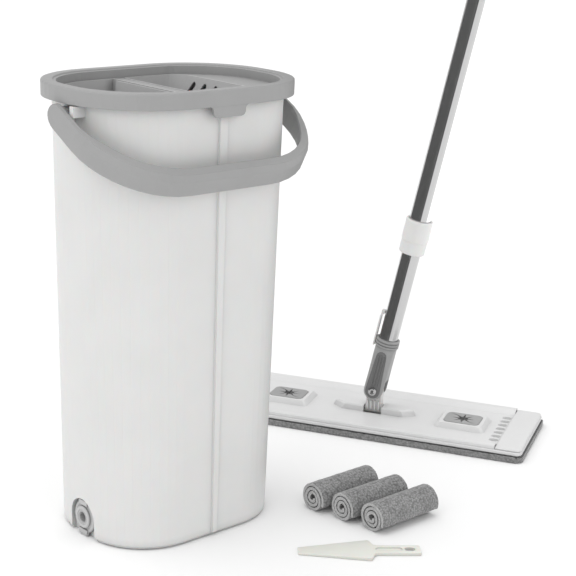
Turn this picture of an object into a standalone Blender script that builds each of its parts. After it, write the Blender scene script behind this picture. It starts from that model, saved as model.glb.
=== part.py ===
"""Flat mop with its self-wringing bucket, three rolled cloths and a scraper.

Metres, +Z up.  The origin is the middle of the bucket's base.  X runs along the bucket's broad
side, -Y is the broad front face with the rib and the rim's snap tab, and the drain is on the
narrow -X end.  The mop stands on the floor on the +X side, the loose pieces lie in front.
"""

import math

import bmesh
import bpy

# ---------------------------------------------------------------- driving dimensions
FIT = 0.0003                 # gap between two pieces that touch

# mop head
HEAD_LENGTH = 0.346
HEAD_WIDTH = 0.124
HEAD_CORNER = 0.007
PAD_BORDER = 0.002           # how far the pad shows round the plate
PAD_THICKNESS = 0.006
SLAB = 0.0045                # moulded plate under its ribs
RAIL_WIDTH = 0.016
RAIL_HEIGHT = 0.0040
RIDGE_HALF_WIDTH = 0.0085    # central ridge that holds the knuckle's axle
RIDGE_LENGTH = 0.088
RIDGE_HEIGHT = 0.0067
BOSS_LENGTH = 0.056          # raised seat of each pad grip
BOSS_WIDTH = 0.046
BOSS_HEIGHT = 0.0050
GRIP_LENGTH = 0.038
GRIP_WIDTH = 0.030
GRIP_THICKNESS = 0.0018
GRIP_TO_SCOOPS = 0.0407      # middle of a grip to the line of scoops at its end
SCOOPS = 7
SCOOP_PITCH = 0.0115
END_CAP_LENGTH = 0.027
END_CAP_THICKNESS = 0.0018

# knuckle and neck
AXLE_HEIGHT = 0.0135         # knuckle's axle above the floor
AXLE_RADIUS = 0.0022
AXLE_LENGTH = 0.060
BARREL_RADIUS = 0.0055
BARREL_LENGTH = 0.0188
TONGUE_THICKNESS = 0.0120
TONGUE_RADIUS = 0.0080
PIN_RISE = 0.0225            # neck's pin above the axle
PIN_RADIUS = 0.0024
PIN_HEAD_RADIUS = 0.0046
NECK_LENGTH = 0.060          # pin to the neck's top edge
EAR_SLOT_TOP = 0.0120
SOCKET_DEPTH = 0.019
INLAY_DEPTH = 0.0012
INLAY_TOP = 0.0460
INLAY_RADIUS = 0.0076
POLE_LEAN = math.radians(11.5)

# telescopic pole, measured along itself from the neck's pin
LOWER_TUBE_RADIUS = 0.0100
TUBE_WALL = 0.0008
TUBE_CLEARANCE = 0.0004
NECK_WALL = 0.0025           # neck round the tube's socket
COLLAR_WALL = 0.0025
HAND_GRIP_WALL = 0.0040
LOWER_TUBE_LENGTH = 0.560
UPPER_TUBE_LENGTH = 0.720
COLLAR_START = 0.1585
COLLAR_LENGTH = 0.037
HAND_GRIP_LENGTH = 0.125
HANGER_HEIGHT = 0.034

# bucket
BUCKET_HEIGHT = 0.400
MOUTH_LENGTH = 0.204
END_TAPER = 0.0105           # how much each narrow end leans out over the full height
SIDE_TAPER = 0.0025          # the same for each broad side
MOUTH_FLAT = 0.016           # flat strip between the two corners of a narrow end, at the mouth
BASE_FLAT = 0.025
SHELL_WALL = 0.0024
FLOOR = 0.0030
FOOT_BEVEL = 0.0035
RIB_TOP_WIDTH = 0.0105
RIB_BASE_WIDTH = 0.0072
RIB_DEPTH = 0.0020

# rim frame and the two wells
RIM_LIP = 0.0090
RIM_BAND = 0.0135
RIM_SKIN = 0.0026
DECK_DROP = 0.0090           # the deck lies this far below the rim's top
DECK = 0.0025
TAB_WIDTH = 0.041
TAB_DROP = 0.0092
WELL_WALL = 0.0018
WELL_DEPTH = 0.128
PAD_PASSAGE = 0.0022         # room beside the pad in a well
WASH_MARGIN = 0.012
WASH_INSET = 0.0010
WRING_CORNER = 0.0165
DIVIDER_LEFT = -0.0110
DIVIDER_RIGHT = -0.0020
SHELF = 0.039                # flat deck between the slotted wall and the tub's end
THROAT_STEP = 0.013          # how far the slotted wall leans in
THROAT_DEPTH = 0.060
SLOTS = 7
SLOT_PITCH = 0.0156
SLOT_DROP = 0.0125           # deck to the middle of a slot
SLOT_SLANT = math.radians(-35.0)
SLOT_LENGTH = 0.018
SLOT_WIDTH = 0.0048
LIP_REACH = 0.0034

# bail
PIVOT_DROP = 0.025           # rim top to the bail's axis
BAIL_GAP = 0.0015
BAIL_WEB = 0.0036
BAIL_HALF_HEIGHT = 0.0110
BAIL_FLANGE = 0.0058
BAIL_STANDOFF = 0.022
BAIL_CORNER = 0.070
BAIL_DROOP = math.radians(28.0)
PEG_RADIUS = 0.0030
EAR_RADIUS = 0.0085

# drain
DRAIN_HEIGHT = 0.0172
ALCOVE_WIDTH = 0.0345
ALCOVE_DEPTH = 0.0050
SPOUT_BORE = 0.0058
SPOUT_RADIUS = 0.0084
SPOUT_FLANGE = 0.0150
PLUG_RADIUS = 0.0102
PLUG_HOLE = 0.0046
SPOUT_TAB = 0.0120           # width of the flange's two grip tabs

# loose pieces
ROLL_LENGTH = 0.074
ROLL_RADIUS = 0.0155
ROLL_SHEET = 0.0033
ROLL_TURNS = 3.1
ROLL_PITCH = 0.0330
SCRAPER_LENGTH = 0.108
SCRAPER_BLADE = 0.064
SCRAPER_TIP_WIDTH = 0.0125
SCRAPER_ROOT_WIDTH = 0.036
SCRAPER_HANDLE_WIDTH = 0.0150
SCRAPER_THICKNESS = 0.0030

# where the separate things stand on the floor
MOP_PLACE = (0.321, 0.051, 0.0)
MOP_TURN = math.radians(-61.0)
ROLL_PLACE = (0.1050, -0.0850)
ROLL_STEP = 0.0062
SCRAPER_PLACE = (0.0369, -0.1427, 0.0)
SCRAPER_TURN = math.radians(-38.0)

# ---------------------------------------------------------------- derived sizes
UPPER_TUBE_RADIUS = LOWER_TUBE_RADIUS + TUBE_CLEARANCE + TUBE_WALL
COLLAR_RADIUS = UPPER_TUBE_RADIUS + COLLAR_WALL
GRIP_TUBE_RADIUS = UPPER_TUBE_RADIUS + HAND_GRIP_WALL
NECK_TOP_RADIUS = LOWER_TUBE_RADIUS + FIT + NECK_WALL
NECK_HALF_DEPTH = LOWER_TUBE_RADIUS + 0.0020
NECK_HALF_WIDTH = LOWER_TUBE_RADIUS + 0.0003
PAD_LENGTH = HEAD_LENGTH + 2 * PAD_BORDER
PAD_WIDTH = HEAD_WIDTH + 2 * PAD_BORDER
PLATE_BOTTOM = PAD_THICKNESS + FIT
PLATE_TOP = PLATE_BOTTOM + SLAB
RAIL_END = HEAD_LENGTH / 2 - END_CAP_LENGTH - 0.0008
SCOOP_LINE = RAIL_END - 0.0060
GRIP_OFFSET = SCOOP_LINE - GRIP_TO_SCOOPS
WELL_HALF_DEPTH = PAD_WIDTH / 2 + PAD_PASSAGE + WELL_WALL
MOUTH_DEPTH = 2 * (WELL_HALF_DEPTH + 0.0026 + SHELL_WALL)
RIM_UNDER = BUCKET_HEIGHT - RIM_SKIN
SHELL_TOP = RIM_UNDER - FIT
DECK_TOP = BUCKET_HEIGHT - DECK_DROP
PIVOT_HEIGHT = BUCKET_HEIGHT - PIVOT_DROP
BAIL_INNER = MOUTH_LENGTH / 2 + RIM_LIP + BAIL_GAP
BAIL_REACH = MOUTH_DEPTH / 2 + RIM_LIP + BAIL_STANDOFF
WASH_LEFT = -(MOUTH_LENGTH / 2 - WASH_MARGIN)
WRING_RIGHT = MOUTH_LENGTH / 2 - SHELF
WELL_BOTTOM = DECK_TOP - WELL_DEPTH
SOCKET_START = NECK_LENGTH - SOCKET_DEPTH
COLLAR_STEP = COLLAR_START + 0.0125
CORNER_STEPS = 7
ROUND_STEPS = 32


# ---------------------------------------------------------------- materials
def material(name, colour, roughness, metallic=0.0):
    made = bpy.data.materials.new(name)
    made.use_nodes = True
    shader = made.node_tree.nodes["Principled BSDF"]
    shader.inputs["Base Color"].default_value = (*colour, 1.0)
    shader.inputs["Roughness"].default_value = roughness
    shader.inputs["Metallic"].default_value = metallic
    made.diffuse_color = (*colour, 1.0)
    return made


# ---------------------------------------------------------------- outlines
def rounded(length, depth, corners, z, centre=(0.0, 0.0), steps=CORNER_STEPS):
    """Rounded rectangle, anticlockwise; corners in the order ++, -+, --, +-."""
    if not isinstance(corners, tuple):
        corners = (corners,) * 4
    points = []
    for quarter, corner in enumerate(corners):
        sx = (1, -1, -1, 1)[quarter]
        sy = (1, 1, -1, -1)[quarter]
        cx = centre[0] + sx * (length / 2 - corner)
        cy = centre[1] + sy * (depth / 2 - corner)
        for step in range(steps + 1):
            angle = math.radians(90 * quarter + 90 * step / steps)
            points.append((cx + corner * math.cos(angle), cy + corner * math.sin(angle), z))
    return points


def circle(radius, z, steps=ROUND_STEPS, centre=(0.0, 0.0)):
    return [(centre[0] + radius * math.cos(2 * math.pi * (k + 0.5) / steps),
             centre[1] + radius * math.sin(2 * math.pi * (k + 0.5) / steps), z)
            for k in range(steps)]


def box_outline(x0, x1, y0, y1, z):
    return [(x0, y0, z), (x1, y0, z), (x1, y1, z), (x0, y1, z)]


# ---------------------------------------------------------------- bodies
def add_body(bm, loops, ring=False):
    """Bridge successive loops; the ends are capped, or joined to each other in a ring."""
    rows = [[bm.verts.new(point) for point in loop] for loop in loops]
    count = len(rows[0])
    faces = []
    pairs = list(zip(rows, rows[1:]))
    if ring:
        pairs.append((rows[-1], rows[0]))
    for lower, upper in pairs:
        for k in range(count):
            n = (k + 1) % count
            faces.append(bm.faces.new((lower[k], lower[n], upper[n], upper[k])))
    if not ring:
        faces.append(bm.faces.new(rows[0][::-1]))
        faces.append(bm.faces.new(rows[-1]))
    return faces


def finish(name, bm, look, parent=None, place=(0, 0, 0), turn=(0, 0, 0), crease=35):
    bmesh.ops.recalc_face_normals(bm, faces=bm.faces)
    mesh = bpy.data.meshes.new(name)
    bm.to_mesh(mesh)
    bm.free()
    mesh.shade_smooth()
    mesh.set_sharp_from_angle(angle=math.radians(crease))
    made = bpy.data.objects.new(name, mesh)
    bpy.context.scene.collection.objects.link(made)
    made.location = place
    made.rotation_euler = turn
    made.parent = parent
    if look:
        mesh.materials.append(look)
    return made


def body(name, loops, look, ring=False, **kind):
    bm = bmesh.new()
    add_body(bm, loops, ring)
    return finish(name, bm, look, **kind)


def group(name, bodies, look, **kind):
    """Several separate closed bodies in one mesh, used as one cutter or one added shape."""
    bm = bmesh.new()
    for loops in bodies:
        add_body(bm, loops)
    return finish(name, bm, look, **kind)


def turned(name, profile, look, ring=False, steps=ROUND_STEPS, **kind):
    """Turn a profile of (radius, height) about its own Z axis."""
    return body(name, [circle(radius, z, steps) for radius, z in profile], look, ring, **kind)


def combine(target, tool, operation):
    """Boolean the hidden tool into the target."""
    change = target.modifiers.new(operation.title(), "BOOLEAN")
    change.operation = operation
    change.solver = "EXACT"
    change.object = tool
    tool.hide_render = True
    tool.display_type = "WIRE"
    return target


def along_x(points):
    """Turn loops made along Z so that their Z runs along X."""
    return [[(z, x, y) for x, y, z in loop] for loop in points]


def empty(name, place, turn=(0, 0, 0), parent=None):
    made = bpy.data.objects.new(name, None)
    made.empty_display_size = 0.02
    bpy.context.scene.collection.objects.link(made)
    made.location = place
    made.rotation_euler = turn
    made.parent = parent
    return made


# ---------------------------------------------------------------- bucket
def tub(z, inset=0.0):
    """The tub's rounded outline at a height, moved inwards by the inset."""
    down = 1.0 - z / BUCKET_HEIGHT
    length = MOUTH_LENGTH - 2 * END_TAPER * down
    depth = MOUTH_DEPTH - 2 * SIDE_TAPER * down
    flat = MOUTH_FLAT + (BASE_FLAT - MOUTH_FLAT) * down
    corner = (depth - flat) / 2
    return rounded(length - 2 * inset, depth - 2 * inset, corner - inset, z, steps=12)


def half_length(z):
    return MOUTH_LENGTH / 2 - END_TAPER * (1.0 - z / BUCKET_HEIGHT)


def half_depth(z):
    return MOUTH_DEPTH / 2 - SIDE_TAPER * (1.0 - z / BUCKET_HEIGHT)


def bucket_shell(look):
    shell = body("bucket_shell", [
        tub(0.0, FOOT_BEVEL), tub(FOOT_BEVEL * 0.35, FOOT_BEVEL * 0.35), tub(FOOT_BEVEL),
        tub(BUCKET_HEIGHT / 2), tub(SHELL_TOP), tub(SHELL_TOP, SHELL_WALL),
        tub(BUCKET_HEIGHT / 2, SHELL_WALL), tub(FLOOR + 0.004, SHELL_WALL),
        tub(FLOOR, SHELL_WALL + 0.004)], look)

    rib_top = BUCKET_HEIGHT - RIM_BAND - 0.001
    levels = []
    for z, width in ((FOOT_BEVEL, RIB_BASE_WIDTH), (rib_top, RIB_TOP_WIDTH)):
        face = -half_depth(z)
        levels.append([(-width / 2, face + 0.001, z), (-width / 2 + 0.0012, face - RIB_DEPTH, z),
                       (width / 2 - 0.0012, face - RIB_DEPTH, z), (width / 2, face + 0.001, z)])
    combine(shell, group("shell_rib", [levels], None), "UNION")

    inner_wall = half_length(DRAIN_HEIGHT) - ALCOVE_DEPTH - 0.004
    boss = box_outline(-half_length(DRAIN_HEIGHT) + 0.0015, -inner_wall,
                       -ALCOVE_WIDTH / 2 - 0.003, ALCOVE_WIDTH / 2 + 0.003, FLOOR - 0.001)
    top = DRAIN_HEIGHT + ALCOVE_WIDTH / 2 + 0.004
    boss_top = [(x, y, top) for x, y, _ in boss]
    combine(shell, group("drain_boss", [[boss, boss_top]], None), "UNION")

    def arch(x):
        sides = [(x, -ALCOVE_WIDTH / 2, -0.002), (x, ALCOVE_WIDTH / 2, -0.002)]
        crown = [(x, ALCOVE_WIDTH / 2 * math.cos(math.pi * k / 12),
                  DRAIN_HEIGHT + ALCOVE_WIDTH / 2 * math.sin(math.pi * k / 12)) for k in range(13)]
        return sides + crown

    floor_x = -half_length(DRAIN_HEIGHT) + ALCOVE_DEPTH
    hole = along_x([circle(SPOUT_RADIUS + FIT, x, 24) for x in (floor_x - 0.002, -inner_wall + 0.01)])
    hole = [[(x, y, z + DRAIN_HEIGHT) for x, y, z in loop] for loop in hole]
    alcove = [arch(-half_length(DRAIN_HEIGHT) - 0.01), arch(floor_x)]
    combine(shell, group("drain_alcove", [alcove], None), "DIFFERENCE")
    combine(shell, group("drain_hole", [hole], None), "DIFFERENCE")

    ears = []
    bores = []
    for side in (-1, 1):
        root = side * (half_length(PIVOT_HEIGHT) - 0.0012)
        tip = side * (BAIL_INNER - 0.0008)
        for store, radius, start in ((ears, EAR_RADIUS, root),
                                     (bores, PEG_RADIUS + FIT, root + side * 0.0014)):
            end = tip + side * (0.002 if store is bores else 0.0)
            loops = along_x([circle(radius, x, 20) for x in (start, end)])
            store.append([[(x, y, z + PIVOT_HEIGHT) for x, y, z in loop] for loop in loops])
        guide = [box_outline(root, tip, -0.0205, -0.0150, z)
                 for z in (PIVOT_HEIGHT + 0.0015, BUCKET_HEIGHT - RIM_BAND - 0.0008)]
        ears.append(guide)
    combine(shell, group("bail_ears", ears, None), "UNION")
    combine(shell, group("bail_bores", bores, None), "DIFFERENCE")
    return shell


def drain(spout_look, plug_look, seal_look):
    """Spout flanged on the outside, held by a nut inside, closed by a pull-out plug."""
    face = -half_length(DRAIN_HEIGHT) + ALCOVE_DEPTH
    inner = -half_length(DRAIN_HEIGHT) + ALCOVE_DEPTH + 0.004
    seat = empty("drain_axis", (face, 0.0, DRAIN_HEIGHT), (0.0, math.radians(-90), 0.0))
    inward = inner - face
    seal_outer = SPOUT_FLANGE - 0.003
    turned("drain_seal", [(SPOUT_RADIUS + FIT, FIT), (seal_outer, FIT), (seal_outer, 0.0012),
                          (SPOUT_RADIUS + FIT, 0.0012)], seal_look, True, parent=seat)
    flange = 0.0012 + FIT
    spout = turned("drain_spout", [
        (SPOUT_BORE, -inward - 0.009), (SPOUT_RADIUS, -inward - 0.009), (SPOUT_RADIUS, flange),
        (SPOUT_FLANGE, flange), (SPOUT_FLANGE, flange + 0.0010), (SPOUT_FLANGE - 0.0008, flange + 0.0016),
        (SPOUT_FLANGE - 0.0030, flange + 0.0016), (SPOUT_FLANGE - 0.0034, flange + 0.0012),
        (PLUG_RADIUS + 0.0010, flange + 0.0012), (PLUG_RADIUS + 0.0006, flange + 0.0016),
        (SPOUT_BORE, flange + 0.0016)], spout_look, True, parent=seat)
    tabs = []
    for side in (-1, 1):
        edge = SPOUT_FLANGE + (0.0007 if side > 0 else 0.0014)
        ends = sorted((side * (SPOUT_FLANGE - 0.0036), side * edge))
        tabs.append([box_outline(ends[0], ends[1], -SPOUT_TAB / 2, SPOUT_TAB / 2, z)
                     for z in (flange + 0.0003, flange + 0.0030)])
    combine(spout, group("spout_tabs", tabs, None, parent=seat), "UNION")
    turned("drain_nut", [
        (SPOUT_RADIUS + FIT, -inward - 0.0055), (0.0135, -inward - 0.0055), (0.0135, -inward - FIT),
        (SPOUT_RADIUS + FIT, -inward - FIT)], spout_look, True, steps=12, parent=seat)
    cap = flange + 0.0016 + FIT
    turned("drain_plug", [
        (SPOUT_BORE - 0.0012, -inward), (SPOUT_BORE - FIT, -inward + 0.002), (SPOUT_BORE - FIT, cap),
        (PLUG_RADIUS, cap), (PLUG_RADIUS, cap + 0.0012), (PLUG_RADIUS - 0.0008, cap + 0.0020),
        (PLUG_RADIUS - 0.0028, cap + 0.0020), (PLUG_RADIUS - 0.0034, cap + 0.0012),
        (PLUG_HOLE + 0.0010, cap + 0.0012), (PLUG_HOLE + 0.0004, cap + 0.0018), (PLUG_HOLE, cap + 0.0012),
        (PLUG_HOLE - 0.0004, cap - 0.0045)], plug_look, parent=seat)


def rim_frame(look):
    channel_in = SHELL_WALL + 0.0006
    rim = body("rim_frame", [
        tub(DECK_TOP - DECK, channel_in + 0.0014), tub(DECK_TOP - DECK + 0.0012, channel_in),
        tub(RIM_UNDER, channel_in), tub(RIM_UNDER, -(RIM_LIP - RIM_SKIN)),
        tub(BUCKET_HEIGHT - RIM_BAND, -(RIM_LIP - RIM_SKIN)), tub(BUCKET_HEIGHT - RIM_BAND, -RIM_LIP),
        tub(BUCKET_HEIGHT - 0.0016, -RIM_LIP), tub(BUCKET_HEIGHT - 0.0004, -RIM_LIP + 0.0006),
        tub(BUCKET_HEIGHT, -RIM_LIP + 0.0018), tub(BUCKET_HEIGHT, channel_in - 0.0022),
        tub(BUCKET_HEIGHT - 0.0006, channel_in - 0.0016), tub(RIM_UNDER + 0.0014, channel_in - 0.0014),
        tub(RIM_UNDER + 0.0010, channel_in + 0.0010), tub(DECK_TOP, channel_in + 0.0014)], look)

    outer = -(half_depth(BUCKET_HEIGHT) + RIM_LIP - 0.0002)
    inner = outer + RIM_SKIN - 0.0006
    low = BUCKET_HEIGHT - RIM_BAND - TAB_DROP
    high = BUCKET_HEIGHT - RIM_BAND + 0.004
    flare = 0.0035
    round_off = 0.0045
    band_edge = BUCKET_HEIGHT - RIM_BAND
    side = TAB_WIDTH / 2 - flare
    front = [(-TAB_WIDTH / 2 - 0.0020, outer, high)]
    for k in range(4):
        angle = math.radians(90 - 30 * k)
        front.append((-side - flare + flare * math.cos(angle), outer,
                      band_edge - flare + flare * math.sin(angle)))
    for k in range(5):
        angle = math.radians(180 + 22.5 * k)
        front.append((-side + round_off + round_off * math.cos(angle), outer,
                      low + round_off + round_off * math.sin(angle)))
    front += [(-x, y, z) for x, y, z in front[::-1]]
    tab = [front, [(x, inner, z) for x, _, z in front]]
    combine(rim, group("rim_tab", [tab], None), "UNION")

    openings = [[outline(z, -FIT) for z in (DECK_TOP - 0.02, DECK_TOP + 0.02)]
                for outline in (wash_mouth, wring_mouth)]
    combine(rim, group("deck_openings", openings, None), "DIFFERENCE")
    return rim


def wash_mouth(z, inset=0.0):
    """Wash well seen from above; its outer corners run concentric with the tub's corners."""
    down = 1.0 - WELL_BOTTOM / BUCKET_HEIGHT
    flat = MOUTH_FLAT + (BASE_FLAT - MOUTH_FLAT) * down
    corner = half_depth(WELL_BOTTOM) - flat / 2
    cx = corner - half_length(WELL_BOTTOM)
    cy = flat / 2
    radius = corner - SHELL_WALL - WASH_INSET - inset
    left = WASH_LEFT + inset
    right = DIVIDER_LEFT - inset
    side = min(1.0, (WELL_HALF_DEPTH - inset - cy) / radius)
    first = min(math.asin(side), math.acos((cx - right) / radius))
    last = math.acos((cx - left) / radius)
    edge = cy + radius * math.sin(first)
    upper = [(right, edge, z)]
    for step in range(1, 11):
        angle = first + (last - first) * step / 10
        upper.append((cx - radius * math.cos(angle), cy + radius * math.sin(angle), z))
    return upper + [(x, -y, h) for x, y, h in upper[::-1]]


def wring_mouth(z, inset=0.0, lean=0.0):
    """Wring well seen from above; wide corners keep its slotted side clear of the tub."""
    right = WRING_RIGHT - lean
    wide = WRING_CORNER - inset
    tight = 0.006 - inset
    return rounded(right - DIVIDER_RIGHT - 2 * inset, 2 * (WELL_HALF_DEPTH - inset),
                   (wide, tight, tight, wide), z, ((right + DIVIDER_RIGHT) / 2, 0.0))


def wells(look, panel_look, lip_look):
    over = DECK_TOP + FIT
    wash = body("wash_well", [
        wash_mouth(WELL_BOTTOM), wash_mouth(over), wash_mouth(over, WELL_WALL),
        wash_mouth(WELL_BOTTOM, WELL_WALL)], look, ring=True)
    ribs = []
    for k in range(3):
        y = 0.016 * (k - 1)
        x = WASH_LEFT + WELL_WALL
        ribs.append([box_outline(x - 0.0008, x + 0.0022, y - 0.0011, y + 0.0011, z)
                     for z in (WELL_BOTTOM + 0.004, DECK_TOP - 0.010)])
    combine(wash, group("wash_ribs", ribs, None), "UNION")

    back = DIVIDER_LEFT - WELL_WALL - FIT
    half = WELL_HALF_DEPTH - 0.009
    levels = ((DECK_TOP - 0.0005, 0.0016), (DECK_TOP - 0.055, 0.0048), (WELL_BOTTOM + 0.006, 0.0048))
    profile = [(back, z) for z, _ in levels] + [(back - depth, z) for z, depth in levels[::-1]]
    panel = body("wash_panel", [[(x, y, z) for x, z in profile] for y in (-half, half)], panel_look)
    bars = []
    for k in range(6):
        z = DECK_TOP - 0.020 - 0.016 * k
        depth = 0.0016 + (0.0048 - 0.0016) * min(1.0, (DECK_TOP - z) / 0.055)
        face = back - depth
        bars.append([box_outline(face - 0.0014, face + 0.001, -half + 0.004, half - 0.004, h)
                     for h in (z - 0.0012, z + 0.0012)])
    combine(panel, group("panel_bars", bars, None), "UNION")

    throat = DECK_TOP - THROAT_DEPTH
    wring = body("wring_well", [
        wring_mouth(WELL_BOTTOM, 0.0, THROAT_STEP), wring_mouth(throat, 0.0, THROAT_STEP),
        wring_mouth(over), wring_mouth(over, WELL_WALL), wring_mouth(throat, WELL_WALL, THROAT_STEP),
        wring_mouth(WELL_BOTTOM, WELL_WALL, THROAT_STEP)], look, ring=True)
    slots = []
    for k in range(SLOTS):
        y = SLOT_PITCH * (k - (SLOTS - 1) / 2)
        z = DECK_TOP - SLOT_DROP
        outline = rounded(SLOT_WIDTH, SLOT_LENGTH, SLOT_WIDTH * 0.45, 0.0, steps=3)
        across = math.cos(SLOT_SLANT)
        along = math.sin(SLOT_SLANT)
        turned_round = [(px * across + py * along, py * across - px * along) for px, py, _ in outline]
        slots.append([[(x, y + a, z + b) for a, b in turned_round]
                      for x in (WRING_RIGHT - THROAT_STEP - 0.006, WRING_RIGHT + 0.006)])
    combine(wring, group("drain_slots", slots, None), "DIFFERENCE")

    near = (DIVIDER_RIGHT + WELL_WALL + FIT, 1, throat - 0.004, WELL_HALF_DEPTH - WELL_WALL - 0.0045)
    far = (WRING_RIGHT - THROAT_STEP - WELL_WALL - FIT, -1, throat - 0.016,
           WELL_HALF_DEPTH - WRING_CORNER - 0.0010)
    for name, (x, side, z, half) in (("wring_lip_left", near), ("wring_lip_right", far)):
        section = [(x, z), (x + side * LIP_REACH, z - 0.010), (x + side * LIP_REACH, z - 0.012),
                   (x + side * 0.0016, z - 0.0115), (x, z - 0.018)]
        body(name, [[(a, y, b) for a, b in section] for y in (-half, half)], lip_look)


def bail_handle(look):
    """Strap swept round the bucket's front, its origin on the pivot axis."""
    inner = BAIL_INNER
    reach = BAIL_REACH - BAIL_WEB
    bend = BAIL_CORNER

    stations = []
    for k in range(6):
        angle = math.radians(75 - 15 * k)
        stations.append((-inner, BAIL_HALF_HEIGHT * math.sin(angle), 180, math.cos(angle), 0.0))
    straight = reach - bend
    stations.append((-inner, -straight * 0.6, 180, 1.0, 0.0))
    for k in range(11):
        angle = math.radians(180 + 9 * k)
        stations.append((-inner + bend + bend * math.cos(angle), -straight + bend * math.sin(angle),
                         180 + 9 * k, 1.0, min(1.0, k / 2.5)))
    mirrored = [(-x, y, 540 - way, tall, flange) for x, y, way, tall, flange in stations[::-1]]
    stations += mirrored

    loops = []
    for x, y, way, tall, flange in stations:
        nx = math.cos(math.radians(way))
        ny = math.sin(math.radians(way))
        depth = BAIL_FLANGE * flange
        section = [(0.0, -1.0), (BAIL_WEB - 0.0008, -1.0), (BAIL_WEB, -0.9), (BAIL_WEB, 0.30),
                   (BAIL_WEB - 0.0022 * flange - 0.0004, 0.86 + 0.08 * (1 - flange)), (-depth, 1.0),
                   (-depth, 0.78), (0.0, 0.58)]
        loops.append([(x + nx * out, y + ny * out, tall * BAIL_HALF_HEIGHT * up) for out, up in section])
    bail = body("bail_handle", loops, look, place=(0.0, 0.0, PIVOT_HEIGHT), turn=(BAIL_DROOP, 0.0, 0.0))

    pegs = [along_x([circle(PEG_RADIUS, side * x, 20) for x in (inner + 0.0012, inner - 0.0088)])
            for side in (-1, 1)]
    combine(bail, group("bail_pegs", pegs, None, place=(0.0, 0.0, PIVOT_HEIGHT),
                        turn=(BAIL_DROOP, 0.0, 0.0)), "UNION")
    return bail


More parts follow.
